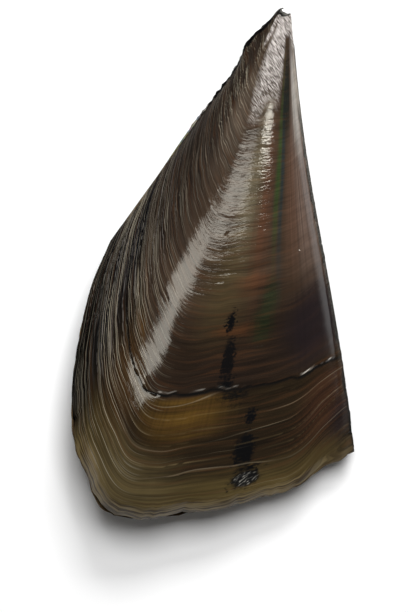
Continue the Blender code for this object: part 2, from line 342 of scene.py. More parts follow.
def grid_of_growth(beak_age):
    """Ages down the rows, closer at the beak and the lip, and shares along the columns."""
    turn = np.linspace(0, math.pi / 2, BEAK_ROWS, endpoint=False)
    beak = beak_age + BEAK_ROUND * (1 - np.cos(turn))
    close = LIP_ROWS_AGE + (1 - LIP_ROWS_AGE) * np.sin(np.linspace(0, math.pi / 2, LIP_ROWS))
    others = ROWS - BEAK_ROWS - LIP_ROWS
    middle = np.linspace(beak_age + BEAK_ROUND, LIP_ROWS_AGE, others, endpoint=False)
    age = np.concatenate([beak, middle, close])[:, None]
    column = np.linspace(0, 1, COLUMNS)
    share = column - 0.055 * np.sin(2 * math.pi * column)
    return np.broadcast_arrays(share[None, :], age)


def slot_edge(age, out):
    """Height of a valve's edge over the middle plane: the crack, and the slot at the hinge."""
    along_slot = np.clip((age - SLOT_AGES[0]) / (SLOT_AGES[1] - SLOT_AGES[0]), 0, 1)
    half = SLOT_HALF_MM[0] + (SLOT_HALF_MM[1] - SLOT_HALF_MM[0]) * along_slot
    inside = smooth((age - SLOT_AGES[0]) / 0.01 + 0.5) * smooth((SLOT_AGES[1] - age) / 0.01 + 0.5)
    return LIP_GAP_MM + (half - LIP_GAP_MM) * inside * smooth((SLOT_DEPTH_MM - out) / 0.8 + 0.5)


def soft_floor(height, floor, blend_mm=0.2):
    """The height, never under the floor, with a short round between the two."""
    return floor + blend_mm * np.logaddexp(0, (height - floor) / blend_mm)


def smooth_form(name, age, lip):
    """Smooth valve: how far its hinge is drawn in, its height, and how far the lip gapes, in mm."""
    ray = np.arctan2(lip[:, 1], lip[:, 0])[None, :]
    bend = hinge_draw(age) * np.exp(-((ray / math.radians(HINGE_DEG)) ** 2))
    gape = np.sin(math.pi * np.clip(ray / math.radians(GAPE_DEG), 0, 1)) ** 0.7 * age**GAPE_START
    swell = PEAK_MM * lift(age, BEAK_AGES[name]) * across(ray) * crest(lip, ray)
    return bend, swell + (GAPE_MM + LIP_SINK_MM) * gape - LIP_SINK_MM, GAPE_MM * gape


def ragged_edges(share, age, seed, marked):
    """How far the belly edge and the hinge edge stand out from their smooth lines, in mm."""
    fray = waves(age, share, seed + 43, BELLY_FRAY_MM)
    fray = fray * rise(share, 0.975, 0.025) * fall(age, 0.62, 0.2) * rise(age, 0.08, 0.05)
    knobs = waves(age, share, seed + 47, HINGE_KNOBS_MM)
    fray = fray + knobs * fall(share, 0.03, 0.03) * rise(age, 0.3, 0.2)
    overhang = 0
    if not marked:
        overhang = 0.9 * patch(share * 0, age, (0, 0.55), (1, 0.2)) * rise(share, 0.96, 0.04)
    swollen = TIP_CRUST_MM * smooth(1 - np.abs(age - TIP_CRUST_AGES[0]) / TIP_CRUST_AGES[1])
    return fray + overhang + swollen * rise(share, 0.80, 0.2)


def crust_cover(share, age, seed, marked):
    """Where black crust lies: along the belly edge and the hinge, at the lip, on the lower beak."""
    ragged = 1.2 * noise(age * 60, share * 30, seed + 45)
    reach = np.interp(age, (0.3, 0.5), (3.4, 2.0)) + ragged
    crust = smooth(reach - (1 - share) * age * LIP_RUN_MM) * np.interp(age, (0.46, 0.56), (1.0, 0.2))
    at_lip = rise(share, 0.60, 0.06) * smooth((0.7 + 0.5 * ragged - 180 * (1 - age)) / 0.8)
    at_hinge = smooth((1.3 + 0.5 * ragged - share * age * LIP_RUN_MM) / 0.6) * rise(age, 0.2, 0.1)
    at_beak = 0 if marked else fall(age, 0.16, 0.05)
    return np.maximum(np.maximum(crust, at_lip), np.maximum(at_beak, at_hinge))


def valve_grids(name, seed, marked):
    """Outside and inside of a valve in millimetres, before it is laid down, and its patterns."""
    share, age = grid_of_growth(BEAK_AGES[name])
    lip = lip_at(share[0])
    bend, swell, gape = smooth_form(name, age, lip)
    chip = waves(share, age, seed + 41, LIP_CHIPS)
    chip = chip - NICK_AGE * patch(share, age * 0, (0.655, 0), (0.012, 1), 0.8) * marked
    grown = age * (1 + (chip - 0.001) * rise(age, 0.955, 0.045))
    worn_to = TIP_WORN_MM[name] + 0.5 * noise(share * 14, age * 0, seed + 46)
    worn_to = worn_to + (0 if marked else 2.4) * fall(share, 0.5, 0.3)
    along = soft_floor(grown * lip[None, :, 0], worn_to, 0.5)
    out = grown * lip[None, :, 1] + bend + ragged_edges(share, age, seed, marked)
    edge = slot_edge(age, out - hinge_draw(age)) + gape
    plain = np.stack([-out, -along, soft_floor(swell, edge + RIM_MM)], axis=-1)
    normal = np.cross(np.gradient(plain, axis=1), np.gradient(plain, axis=0))
    normal /= np.linalg.norm(normal, axis=-1)[..., None]
    depth, (coarse, fine), line = growth_relief(share, age, seed)
    worn, bare, glint, root, pit = wear(share, age, line, seed, marked)
    hold = smooth(share / 0.02) * fall(share, 1, 0.015) * fall(age, 1, 0.004)
    hold = hold * rise(age, BEAK_AGES[name], 0.02) * smooth((plain[..., 2] - edge) / 2.5)
    outside = plain - normal * ((depth + worn) * hold)[..., None]
    wall = np.minimum(WALL_MM, LIP_WALL_MM + 8 * (1 - age)) * (0.3 + 0.7 * rise(age, 0.04, 0.14))
    inside = plain.copy()
    inside[..., 2] = soft_floor(swell - wall / np.clip(normal[..., 2], STEEPEST, 1), edge, 0.1)
    off_belly = 1 - rise(share, 0.60, 0.06)
    # glint holds the step's painted highlight, and root its painted shade.
    pattern = {
        "share": share, "line": line, "coarse": coarse, "fine": fine, "bare": bare,
        "crust": crust_cover(share, age, seed, marked), "glint": glint, "root": root, "pit": pit,
        "lip": rise(age, 0.968, 0.024) * off_belly * smooth((share + 0.02) / 0.14),
    }
    return outside, inside[::ROW_STEP, ::COLUMN_STEP], pattern


for name in BEAK_AGES:
    tried = valve_grids(name, 100, False)[0]
    print(name, "smooth size in mm", np.round(np.ptp(tried.reshape(-1, 3), axis=0), 1))

# %% [markdown]
# A valve lies on its lower side: a few degrees of roll bring the hinge down and the belly up. The
# turn is known, and the shift isn't guessed: it is the one that brings the top and the middle of the
# new upper valve to where the frame has them. The lower valve then follows with the same shift.

# %% Lay the shell down
def tilted(points):
    """Points in millimetres turned as the shell lies: pitched about X, then rolled about Y."""
    pitch, roll = math.radians(TILT_PITCH_DEG), math.radians(TILT_ROLL_DEG)
    x, y, z = points[..., 0], points[..., 1], points[..., 2]
    y, z = y * math.cos(pitch) - z * math.sin(pitch), y * math.sin(pitch) + z * math.cos(pitch)
    x, z = x * math.cos(roll) + z * math.sin(roll), z * math.cos(roll) - x * math.sin(roll)
    return np.stack([x, y, z], axis=-1)


def shift_to_frame():
    """The shift in millimetres from the vanishing point to the frame, from the upper valve's box."""
    share, age = grid_of_growth(BEAK_AGES["valve_lower"])
    lip = lip_at(share[0])
    bend, swell, _ = smooth_form("valve_upper", age, lip)
    out, along = age * lip[None, :, 1] + bend, age * lip[None, :, 0]
    points = tilted(np.stack([-out, -along, swell], axis=-1))[swell > LIP_GAP_MM]
    low, high = points.min(axis=0), points.max(axis=0)
    upper_low, upper_high = (np.array(corner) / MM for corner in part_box("valve_upper"))
    shift = (upper_low + upper_high) / 2 - (low + high) / 2
    shift[2] = upper_high[2] - high[2]
    return shift


SHIFT_MM = shift_to_frame()
print("shift from the vanishing point in mm", np.round(SHIFT_MM, 2))

# %% [markdown]
# The grids become meshes. Each valve keeps a UV map of share and wandering age, and eight values
# per point: how near it is to a coarse or a fine free edge, where highlights are painted, how bare it
# is worn, whether crust, the pit or the dry lip covers it, and how near it is to the long rest's lifted
# edge, with its painted highlight, and to the painted shade at its root. The finish reads them, so the
# colour of a scale can't slip off its shape.

# %% Meshes from grids
def rim_faces(outer, inner):
    """Triangles between a fine line of points and a coarse one that runs beside it."""
    step = (len(outer) - 1) // (len(inner) - 1)
    count, half = len(inner) - 1, step // 2
    faces = []
    for k in range(step):
        near = inner[:-1] if k < half else inner[1:]
        faces.append(np.stack([outer[k::step][:count], outer[k + 1 :: step][:count], near], axis=1))
    faces.append(np.stack([outer[half::step][:count], inner[1:], inner[:-1]], axis=1))
    return np.concatenate(faces)


def quads(index):
    """The four corners of each field of a grid of point numbers."""
    corners = [index[:-1, :-1], index[:-1, 1:], index[1:, 1:], index[1:, :-1]]
    return np.stack(corners, axis=-1).reshape(-1, 4)


def put_values(mesh, uv, values):
    """Writes the UV map of growth and the per-point values into a mesh."""
    corner = np.empty(len(mesh.loops), dtype=np.int32)
    mesh.loops.foreach_get("vertex_index", corner)
    layer = mesh.uv_layers.new(name="growth")
    layer.data.foreach_set("uv", uv[corner].astype(np.float32).ravel())
    for name, value in values.items():
        made = mesh.attributes.new(name, "FLOAT", "POINT")
        made.data.foreach_set("value", np.ascontiguousarray(value, dtype=np.float32).ravel())


def valve_piece(name, node, side, seed, marked):
    """One closed valve: outside, inside and rim, with the inside's faces in a second material."""
    outside, inside, pattern = valve_grids(node, seed, marked)
    laid_outside = tilted(outside * (1, 1, side)) + SHIFT_MM
    laid_inside = tilted(inside * (1, 1, side)) + SHIFT_MM
    laid_outside[..., 2] = np.maximum(laid_outside[..., 2], 0)
    outer = np.arange(outside.shape[0] * outside.shape[1]).reshape(outside.shape[:2])
    inner = np.arange(inside.shape[0] * inside.shape[1]).reshape(inside.shape[:2]) + outer.size
    rims = [
        rim_faces(outer[:, 0], inner[:, 0]),
        rim_faces(outer[-1], inner[-1]),
        rim_faces(outer[::-1, -1], inner[::-1, -1]),
        rim_faces(outer[0, ::-1], inner[0, ::-1]),
    ]
    skin, lining, rim = quads(outer), quads(inner)[:, ::-1], np.concatenate(rims)
    if side < 0:
        skin, lining, rim = skin[:, ::-1], lining[:, ::-1], rim[:, ::-1]
    points = np.concatenate([laid_outside.reshape(-1, 3), laid_inside.reshape(-1, 3)]) * MM
    mesh = bpy.data.meshes.new(name)
    mesh.from_pydata(points.tolist(), [], skin.tolist() + rim.tolist() + lining.tolist())
    lined = np.zeros(len(mesh.polygons), dtype=np.int32)
    lined[len(skin) + len(rim) :] = 1
    mesh.polygons.foreach_set("material_index", lined)
    thin = (slice(None, None, ROW_STEP), slice(None, None, COLUMN_STEP))
    both = {key: np.concatenate([value.ravel(), value[thin].ravel()]) for key, value in pattern.items()}
    growth = np.stack([both.pop("share"), both.pop("line")], axis=1)
    put_values(mesh, growth, both)
    mesh.shade_smooth()
    mesh.set_sharp_from_angle(angle=math.radians(60))
    piece = into_scene(name, mesh)
    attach(piece, "root")
    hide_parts(node)
    triangles = sum(len(polygon.vertices) - 2 for polygon in mesh.polygons)
    print(name, len(mesh.vertices), "points", triangles, "triangles")
    return piece


upper = valve_piece("upper_valve", "valve_upper", 1, 100, True)
lower = valve_piece("lower_valve", "valve_lower", -1, 500, False)

# %% [markdown]
# The ligament is the spring of the hinge: a strip of dark, horny protein that dries to layers and
# fine cracks. It could stay the model's smooth tube. Here it is a profile carried along the hinge,
# with lengthwise layers and cross cracks as shape, because it shows as a line of light and dark
# when the shell is seen from its hinge side.

# %% The ligament
LIGAMENT_AGES, LIGAMENT_CLEAR_MM = (0.11, 0.947), 0.32
LIGAMENT_HALF_WIDTH_MM, LIGAMENT_PROUD_MM = 2.4, 0.5
LIGAMENT_ROWS, LIGAMENT_SIDES = 420, 36


def ligament_piece():
    """An oval ring carried from age to age: its radius is worn by layers and cracks."""
    low_half, high_half = (half - LIGAMENT_CLEAR_MM for half in SLOT_HALF_MM)
    way = np.linspace(0, 1, LIGAMENT_ROWS)[:, None]
    turn = np.linspace(0, 2 * math.pi, LIGAMENT_SIDES, endpoint=False)[None, :]
    age = LIGAMENT_AGES[0] + (LIGAMENT_AGES[1] - LIGAMENT_AGES[0]) * way
    taper = (low_half + (high_half - low_half) * way) / high_half * (1 - 0.5 * way**12)
    middle = hinge_draw(age) - LIGAMENT_PROUD_MM + LIGAMENT_HALF_WIDTH_MM * taper
    ends = np.sqrt(np.clip(1 - np.clip((np.abs(way - 0.5) - 0.49) / 0.01, 0, 1) ** 2, 0, 1))
    layers = 0.07 * noise(np.sin(turn) * 9, way * 14, 71) * (1 - np.abs(np.cos(turn)) ** 8)
    cracks = -0.16 * smooth((noise(way * 70, np.sin(turn) * 2, 72) - 0.35) / 0.3)
    radius = (1 - 0.08 + layers + cracks) * ends
    out = middle - LIGAMENT_HALF_WIDTH_MM * taper * radius * np.cos(turn)
    high = high_half * taper * radius * np.sin(turn)
    points = np.stack(np.broadcast_arrays(-out, -age * HINGE_MM, high), axis=-1)
    index = np.arange(points[..., 0].size).reshape(LIGAMENT_ROWS, LIGAMENT_SIDES)
    ring = np.concatenate([index, index[:, :1]], axis=1)
    caps = [index[0].tolist(), index[-1, ::-1].tolist()]
    mesh = bpy.data.meshes.new("hinge_ligament")
    laid = (tilted(points) + SHIFT_MM) * MM
    mesh.from_pydata(laid.reshape(-1, 3).tolist(), [], quads(ring)[:, ::-1].tolist() + caps)
    uv = np.stack(np.broadcast_arrays(turn / (2 * math.pi), age), axis=-1).reshape(-1, 2)
    put_values(mesh, uv, {})
    mesh.shade_smooth()
    piece = into_scene("hinge_ligament", mesh)
    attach(piece, "root")
    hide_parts("ligament")
    print("ligament", len(mesh.vertices), "points")
    return piece


ligament = ligament_piece()

# %% [markdown]
# A material in Blender is a graph of nodes. One small function adds a node with its settings and
# links, and colours are written as the hex values a painter would pick, turned to linear light.
# A few patterns come back all over the shell: noise drawn out along the old lips, streaks across
# the solid, two tones chosen by a pattern, and tones laid over each other. They have a function each.

# %% Helpers for materials
COLOUR_MIX = {"out": 2, "data_type": "RGBA"}


def linear(hex_colour):
    """An sRGB hex colour as linear red, green and blue, with alpha 1."""
    parts = np.array([int(hex_colour[k : k + 2], 16) for k in (1, 3, 5)]) / 255
    parts = np.where(parts <= 0.04045, parts / 12.92, ((parts + 0.055) / 1.055) ** 2.4)
    return (*parts.tolist(), 1.0)


def add(tree, kind, links=None, out=0, **settings):
    """Adds a shader node, sets it, feeds its inputs with values or outputs, and gives one output."""
    node = tree.nodes.new("ShaderNode" + kind)
    for key, value in settings.items():
        setattr(node, key, value)
    for socket, source in (links or {}).items():
        if isinstance(source, bpy.types.NodeSocket):
            tree.links.new(source, node.inputs[socket])
        else:
            node.inputs[socket].default_value = source
    return node.outputs[out]


def new_material(name, roughness, ior):
    """A material with its shader: gives the material, the node tree and the Principled node."""
    made = bpy.data.materials.new(name)
    made.use_nodes = True
    shader = made.node_tree.nodes["Principled BSDF"]
    shader.inputs["Roughness"].default_value = roughness
    shader.inputs["IOR"].default_value = ior
    return made, made.node_tree, shader


def finished(made, looks):
    """Links each look to the shader's socket of that name, and gives the material."""
    shader = made.node_tree.nodes["Principled BSDF"]
    for socket, source in looks.items():
        made.node_tree.links.new(source, shader.inputs[socket])
    return made


def lines_along_lip(tree, place, per_share, per_age, detail=2.0, read=None):
    """Noise along the old lips, with that many waves; read makes it a mask: from, to, low, high."""
    stretched = add(tree, "Mapping", {"Vector": place, "Scale": (per_share, per_age, 1)})
    lines = add(tree, "TexNoise", {"Vector": stretched, "Scale": 1.0, "Detail": detail})
    return add(tree, "MapRange", {0: lines, **dict(enumerate(read, 1))}) if read else lines


def slanting_streaks(tree, turn_deg, size_mm, detail, distortion):
    """Noise in streaks fixed to the solid: a turn, and how wide and long they are."""
    solid = add(tree, "TexCoord", out="Object")
    scale = (size_mm[0] * MM, size_mm[1] * MM, 1)
    turn = {"Vector": solid, "Rotation": (0, 0, math.radians(turn_deg)), "Scale": scale}
    turned = add(tree, "Mapping", turn, vector_type="TEXTURE")
    streaks = {"Vector": turned, "Scale": 1.0, "Detail": detail, "Distortion": distortion}
    return add(tree, "TexNoise", streaks)


def two_tones(tree, pattern, start, end, first, second):
    """The first colour where a pattern is under start, the second where it is over end."""
    cover = add(tree, "MapRange", {0: pattern, 1: start, 2: end})
    return add(tree, "Mix", {0: cover, 6: linear(first), 7: linear(second)}, **COLOUR_MIX)


def lay_over(tree, colour, layers, blend="MIX"):
    """Lays tones over a colour, one after another, each by its own cover."""
    for cover, tone in layers:
        tone = linear(tone) if isinstance(tone, str) else tone
        colour = add(tree, "Mix", {0: cover, 6: colour, 7: tone}, blend_type=blend, **COLOUR_MIX)
    return colour


print("white in linear light", linear("#ffffff"))

# %% [markdown]
# The outside is horny protein over thin prisms of calcite, and it is wet-glossy where it is whole.
# The colour lies in rays from the beak, because each spot of the lip goes on laying down the
# same pigment, and in lines along the old lips, because the food and the season change. So the
# finish is painted in ovals of share and age: long narrow ones for rays, flat ones for seasons.
# An image would be quicker, but it would fix one shell's picture and would not follow the relief.

# %% Ovals of colour
HORN_BROWN, LATE_BROWN, CRUST_BLACK = "#382b20", "#20170b", "#0b0a09"
PEARL_FILM_NM = 420.0
# colour, centre as share and age, half size in share and age, how much of it fades, strength
RAYS_AND_SEASONS = (
    ("#241e19", (0.88, 0.40), (0.40, 0.60), 0.6, 1.0),  # grey-brown belly side, young
    ("#4a4036", (0.58, 0.25), (0.15, 0.19), 0.9, 0.8),  # paler beside the worn point
    ("#1f150c", (0.28, 0.71), (0.46, 0.18), 0.7, 0.9),  # dark brown belt over the long rest
    ("#5b4b42", (0.04, 0.36), (0.14, 0.32), 0.6, 0.85),  # mauve hinge slope
    ("#4c3527", (0.13, 0.42), (0.05, 0.22), 0.8, 0.6),  # pinkish brown beside it
    # The next oval is a painted sheen: the pale grey strip near the point.
    ("#918b82", (0.045, 0.22), (0.075, 0.17), 0.8, 0.8),  # pale grey strip near the point
    ("#1f2828", (0.188, 0.34), (0.020, 0.34), 0.9, 0.85),  # dark teal ray
    ("#26391a", (0.212, 0.33), (0.024, 0.27), 1.0, 0.9),  # green ray
    ("#161b18", (0.160, 0.20), (0.070, 0.13), 0.8, 0.9),  # black-green start of both
    ("#4f3222", (0.275, 0.42), (0.05, 0.26), 1.0, 0.7),  # rust ray
    ("#5c5340", (0.345, 0.38), (0.080, 0.24), 1.0, 0.85),  # khaki ray
    ("#443922", (0.37, 0.56), (0.13, 0.16), 1.0, 0.65),  # olive brown slope
    ("#1d2c18", (0.215, 0.60), (0.045, 0.05), 0.9, 0.6),  # green patch
    ("#14210f", (0.235, 0.655), (0.05, 0.055), 0.9, 0.7),  # dark green patch below it
    ("#55311b", (0.28, 0.565), (0.10, 0.026), 0.9, 0.35),  # rusty line of growth
    ("#523018", (0.32, 0.655), (0.10, 0.016), 0.9, 0.45),  # a second, thinner one
    ("#1b1416", (0.06, 0.69), (0.17, 0.12), 0.7, 0.9),  # purple black by the hinge
    ("#1d140e", (0.30, 0.735), (0.22, 0.06), 0.8, 0.7),  # darkest just above the step
)
LATE_GROWTH = (
    ("#4b3612", (0.40, 0.81), (0.15, 0.075), 0.9, 0.95),  # golden horn
    ("#524526", (0.30, 0.98), (0.50, 0.07), 0.9, 0.85),  # olive rim
    ("#5d5033", (0.51, 0.95), (0.20, 0.10), 0.9, 0.9),  # olive corner, thin enough to glow
    ("#311e12", (0.04, 0.88), (0.12, 0.12), 0.7, 0.95),  # reddish brown corner
    ("#1a1314", (0.00, 0.95), (0.085, 0.07), 0.7, 0.85),  # purple black corner
    ("#3a2813", (0.58, 0.78), (0.10, 0.18), 0.9, 0.85),  # brown ridge side
    ("#0f0f11", (0.95, 0.86), (0.35, 0.38), 0.5, 0.95),  # blue-black belly
    ("#12110f", (0.80, 0.97), (0.20, 0.10), 0.5, 0.9),  # dark strip along the belly's lip
    ("#8a7857", (0.575, 1.00), (0.055, 0.05), 0.8, 0.85),  # tan lip at the far corner
)
UNDER_BELLY = (("#0d0c0b", (0.84, 1.00), (0.26, 0.16), 0.4, 1.0),)  # black edge of the lower valve
BLOTCHES = (
    ("#5f4e38", (1.0, 0.79), (0.016, 0.18), 0.7, 0.8),  # thin brown edge of the belly side
    ("#040405", (0.333, 0.635), (0.020, 0.028), 0.6, 1.0),
    ("#050506", (0.322, 0.71), (0.022, 0.052), 0.5, 0.95),
    ("#040405", (0.312, 0.757), (0.030, 0.016), 0.6, 1.0),
    ("#060606", (0.29, 0.788), (0.050, 0.016), 0.8, 0.9),
    ("#040406", (0.243, 0.832), (0.022, 0.020), 0.6, 1.0),
    ("#040405", (0.248, 0.893), (0.032, 0.042), 0.5, 1.0),
    ("#030304", (0.237, 0.947), (0.042, 0.026), 0.6, 1.0),
)


def paint(tree, colour, place, ovals):
    """Lays soft ovals of colour over a colour, one after another."""
    for hex_colour, centre, half, fade, strength in ovals:
        scale = (1 / half[0], 1 / half[1], 1)
        shift = (-centre[0] / half[0], -centre[1] / half[1], 0)
        local = add(tree, "Mapping", {"Vector": place, "Location": shift, "Scale": scale})
        away = add(tree, "VectorMath", {0: local}, out="Value", operation="LENGTH")
        soft = {0: away, 1: 1.0, 2: 1 - fade, 3: 0.0, 4: strength}
        cover = add(tree, "MapRange", soft, interpolation_type="SMOOTHSTEP")
        colour = lay_over(tree, colour, [(cover, hex_colour)])
    return colour


def pushed(tree, place, push, reach):
    """A place moved about by noise, at most half of reach in share and age to either side."""
    push = add(tree, "VectorMath", {0: push, 1: (0.5, 0.5, 0)}, operation="SUBTRACT")
    push = add(tree, "VectorMath", {0: push, 1: (*reach, 0)}, operation="MULTIPLY")
    return add(tree, "VectorMath", {0: place, 1: push}, operation="ADD")


print(len(RAYS_AND_SEASONS) + len(LATE_GROWTH), "ovals of pigment and", len(BLOTCHES), "blotches")

# %% [markdown]
# Each look has its own part of the shell: hairs of light belong to the belly side, rays to the hinge
# slope. Such a part is a zone, a value at every point that fades in between two shares or two ages.
# The zones are rows of a table, and a second table joins them. One could paint the masks by hand,
# but a row says in plain numbers where a look begins and ends, and it is easy to move.

# %% Zones of the outside
# coarse and fine steer the painted highlights on scale edges; glint is the step's painted highlight and
# root its painted shade.
POINT_VALUES = ("coarse", "fine", "bare", "crust", "glint", "root", "pit", "lip")
ZONES = {  # what it is read from, where it starts and ends, and its values there if not 0 and 1
    "recent": ("passed", -0.002, 0.008),  # laid down after the long rest
    "off_hinge": ("share", 0.12, 0.22, 0.35, 1.0),  # growth lines are faint beside the hinge
    "on_wall": ("share", 0.56, 0.68),  # the steep belly wall
    "thickened": ("age", 0.40, 0.66, 0.35, 1.0),  # sheets get thicker as the animal ages
    "by_hinge": ("share", 0.17, 0.10, 0.0, 2.6),
    "fading": ("age", 0.42, 0.56, 1.0, 0.25),  # the hinge's rays fade before the long rest
    "in_gold": ("passed", 0.12, 0.02),  # the golden growth, just after the long rest
    "off_corner": ("share", 0.22, 0.32),
    "at_end": ("age", 0.84, 0.93, 1.0, 0.5),  # light edges are fewer close to the lip
    "by_ridge": ("share", 0.66, 0.58),
    "on_belly": ("share", 0.46, 0.60),
    "on_corner": ("share", 0.45, 0.53, 0.0, 0.9),
    "grown_up": ("age", 0.48, 0.80, 0.2, 1.05),
    "near_point": ("age", 0.46, 0.32, 0.0, 0.7),
    "belly_side": ("share", 0.49, 0.68),
    "late_growth": ("age", 0.5, 0.84, 0.06, 0.95),
    "fine_light": ("share", 0.45, 0.62, 0.15, 0.7),  # how much light fine edges catch
    "to_ridge": ("share", 0.38, 0.50, 1.0, 0.35),  # rest lines are faint at the ridge
    "chalk_from": ("age", 0.09, 0.2, 0.43, 0.50),  # the point itself is palest
    "hinge_dull": ("share", 0.03, 0.10, 0.16, 0.0),
    "shine": ("share", 0.60, 0.78, 0.5, 0.03),  # less mirror on the wall
    "lip_shine": ("age", 0.86, 0.94, 0.5, 0.0),
    "off_wall": ("share", 0.60, 0.54, 0.0, 0.5),
}
JOINED_ZONES = (  # name, how, and the zones or values it is made of
    ("lined", "MAXIMUM", "off_hinge", "recent"),
    ("stacked", "MULTIPLY", "on_wall", "thickened"),
    ("before", "SUBTRACT", 1.0, "recent"),
    ("hinge_rays", "MULTIPLY", "by_hinge", "before", "fading"),
    ("gold_rays", "MULTIPLY", "in_gold", "recent", "off_corner"),
    ("rays", "MAXIMUM", "hinge_rays", "gold_rays"),
    ("kept_edges", "MAXIMUM", "at_end", "by_ridge"),
    ("late_corner", "MULTIPLY", "on_corner", "recent"),
    ("belly_hairs", "MAXIMUM", "on_belly", "late_corner"),
    ("hair_ages", "MAXIMUM", "grown_up", "near_point"),
    ("haired", "MULTIPLY", "belly_hairs", "hair_ages", "kept_edges"),
    ("late_edges", "MULTIPLY", "recent", 0.42),
    ("edged", "MAXIMUM", "belly_side", "late_edges"),
    ("edge_ages", "MULTIPLY", "late_growth", "kept_edges"),
    ("lip_limit", "MAXIMUM", "lip_shine", "off_wall"),
    ("gloss", "MINIMUM", "shine", "lip_limit"),
)


def places_and_zones(tree):
    """Every place, value and zone that the outside's looks read, by name."""
    growth = add(tree, "UVMap", uv_map="growth")
    # Streaks push the ovals' outlines about: long ones down the rays, short ones along the lips.
    down_rays = lines_along_lip(tree, growth, 60, 5, 3.0)
    along_lips = lines_along_lip(tree, growth, 8, 90, 3.0)
    push = add(tree, "CombineXYZ", {0: down_rays, 1: along_lips})
    place = pushed(tree, growth, push, (0.035, 0.045))
    at = {name: add(tree, "Attribute", out="Fac", attribute_name=name) for name in POINT_VALUES}
    at.update({"growth": growth, "place": place})
    at["share"] = add(tree, "SeparateXYZ", {0: place}, out=0)
    at["age"] = add(tree, "SeparateXYZ", {0: growth}, out=1)
    # The long rest came at age 0.772 on the slope, and its trace runs out at 0.70 on the belly.
    rest_age = add(tree, "MapRange", {0: at["share"], 1: 0.5, 2: 0.62, 3: BREAK_AGE, 4: 0.70})
    at["passed"] = add(tree, "Math", {0: at["age"], 1: rest_age}, operation="SUBTRACT")
    for name, (source, *numbers) in ZONES.items():
        at[name] = add(tree, "MapRange", {0: at[source], **dict(enumerate(numbers, 1))})
    for name, how, first, *others in JOINED_ZONES:
        at[name] = at.get(first, first)
        for other in others:
            parts = {0: at[name], 1: at.get(other, other)}
            at[name] = add(tree, "Math", parts, operation=how)
    return at


print(len(ZONES), "plain zones and", len(JOINED_ZONES), "joins")

# %% [markdown]
# Growth lines come first. The mantle lays shell down in pulses, so light and dark threads follow
# every old lip. They are drawn about a millimetre apart; the real ones are several times finer and
# would vanish in a picture this size. Rays cross them, where one spot of the mantle made more
# pigment. Both multiply the pigment's colour, as more or less of one dye would.

# %% Lines of growth and rays
def lines_of_growth(tree, at, colour):
    """Threads 1 mm and 4 mm apart over 200 mm of age, rusty lines, stacked sheets, and rays."""
    growth = at["growth"]
    at["threads"] = lines_along_lip(tree, growth, 6, 230, 4.0)
    seasons = lines_along_lip(tree, growth, 3, 46, 2.0)
    shade = add(tree, "Math", {0: at["threads"], 1: seasons}, operation="ADD")
    shade = add(tree, "MapRange", {0: shade, 1: 0.72, 2: 1.3, 3: 0.55, 4: 1.5})
    colour = lay_over(tree, colour, [(at["lined"], shade)], "MULTIPLY")
    # Some lines are rusty: there the food was rich in iron.
    rusty = lines_along_lip(tree, growth, 5, 130, 3.0, (0.52, 0.66, 0.0, 0.32))
    rusty = add(tree, "Math", {0: rusty, 1: at["lined"]}, operation="MULTIPLY")
    colour = lay_over(tree, colour, [(rusty, "#482d19")])
    # On the belly side the sheets stand on edge, so dark and light lie close together there.
    sheets = lines_along_lip(tree, growth, 3, 430, 2.0, (0.45, 0.58, 0.22, 1.6))
    # Rays beside the hinge and in the golden growth run from the beak, 1.5 mm apart.
    streaks = lines_along_lip(tree, growth, 150, 2.5, 2.0)
    streaks = add(tree, "Math", {0: streaks, 1: 0.5}, operation="SUBTRACT")
    streaks = add(tree, "Math", {0: streaks, 1: at["rays"], 2: 1.0}, operation="MULTIPLY_ADD")
    return lay_over(tree, colour, [(at["stacked"], sheets), (1.0, streaks)], "MULTIPLY")


print("lines and rays ready")

# %% [markdown]
# Thin edges of horn let light through and look pale, and the highlights they catch are painted into the
# colour. There are three kinds of pale line: painted highlights on hairs where single sheets stand
# proud on the belly side, painted highlights on the free edges of the scales, tan on the slope and pale
# grey on the belly side, and rest lines, where the lip stood still for a while. Rest lines could be
# contours of a noise, but those close to loops. Here they are even steps of a slightly drifting
# age, so that they always run along the lip.

# %% Painted edge highlights and rest lines
REST_LINES = 26  # over the whole age, about one every 8 mm
REST_DRIFT, REST_HALF_WIDTH, REST_LIGHT = 2.6, 0.028, 0.33


def rest_lines(tree, at):
    """Cover of the rest lines: the fraction of a drifting age, read close to its middle."""
    drift = lines_along_lip(tree, at["growth"], 1.3, 14, 1.0)
    phase = add(tree, "Math", {0: at["age"], 1: REST_LINES}, operation="MULTIPLY")
    phase = add(tree, "Math", {0: drift, 1: REST_DRIFT, 2: phase}, operation="MULTIPLY_ADD")
    phase = add(tree, "Math", {0: phase}, operation="FRACT")
    phase = add(tree, "Math", {0: phase, 1: 0.5}, operation="SUBTRACT")
    off_line = add(tree, "Math", {0: phase}, operation="ABSOLUTE")
    line = add(tree, "MapRange", {0: off_line, 1: REST_HALF_WIDTH, 2: 0.0, 3: 0.0, 4: REST_LIGHT})
    broken = lines_along_lip(tree, at["growth"], 4, 30, 2.0, (0.40, 0.64, 0.0, 1.0))
    for zone in (broken, at["recent"], at["to_ridge"]):
        line = add(tree, "Math", {0: line, 1: zone}, operation="MULTIPLY")
    return line


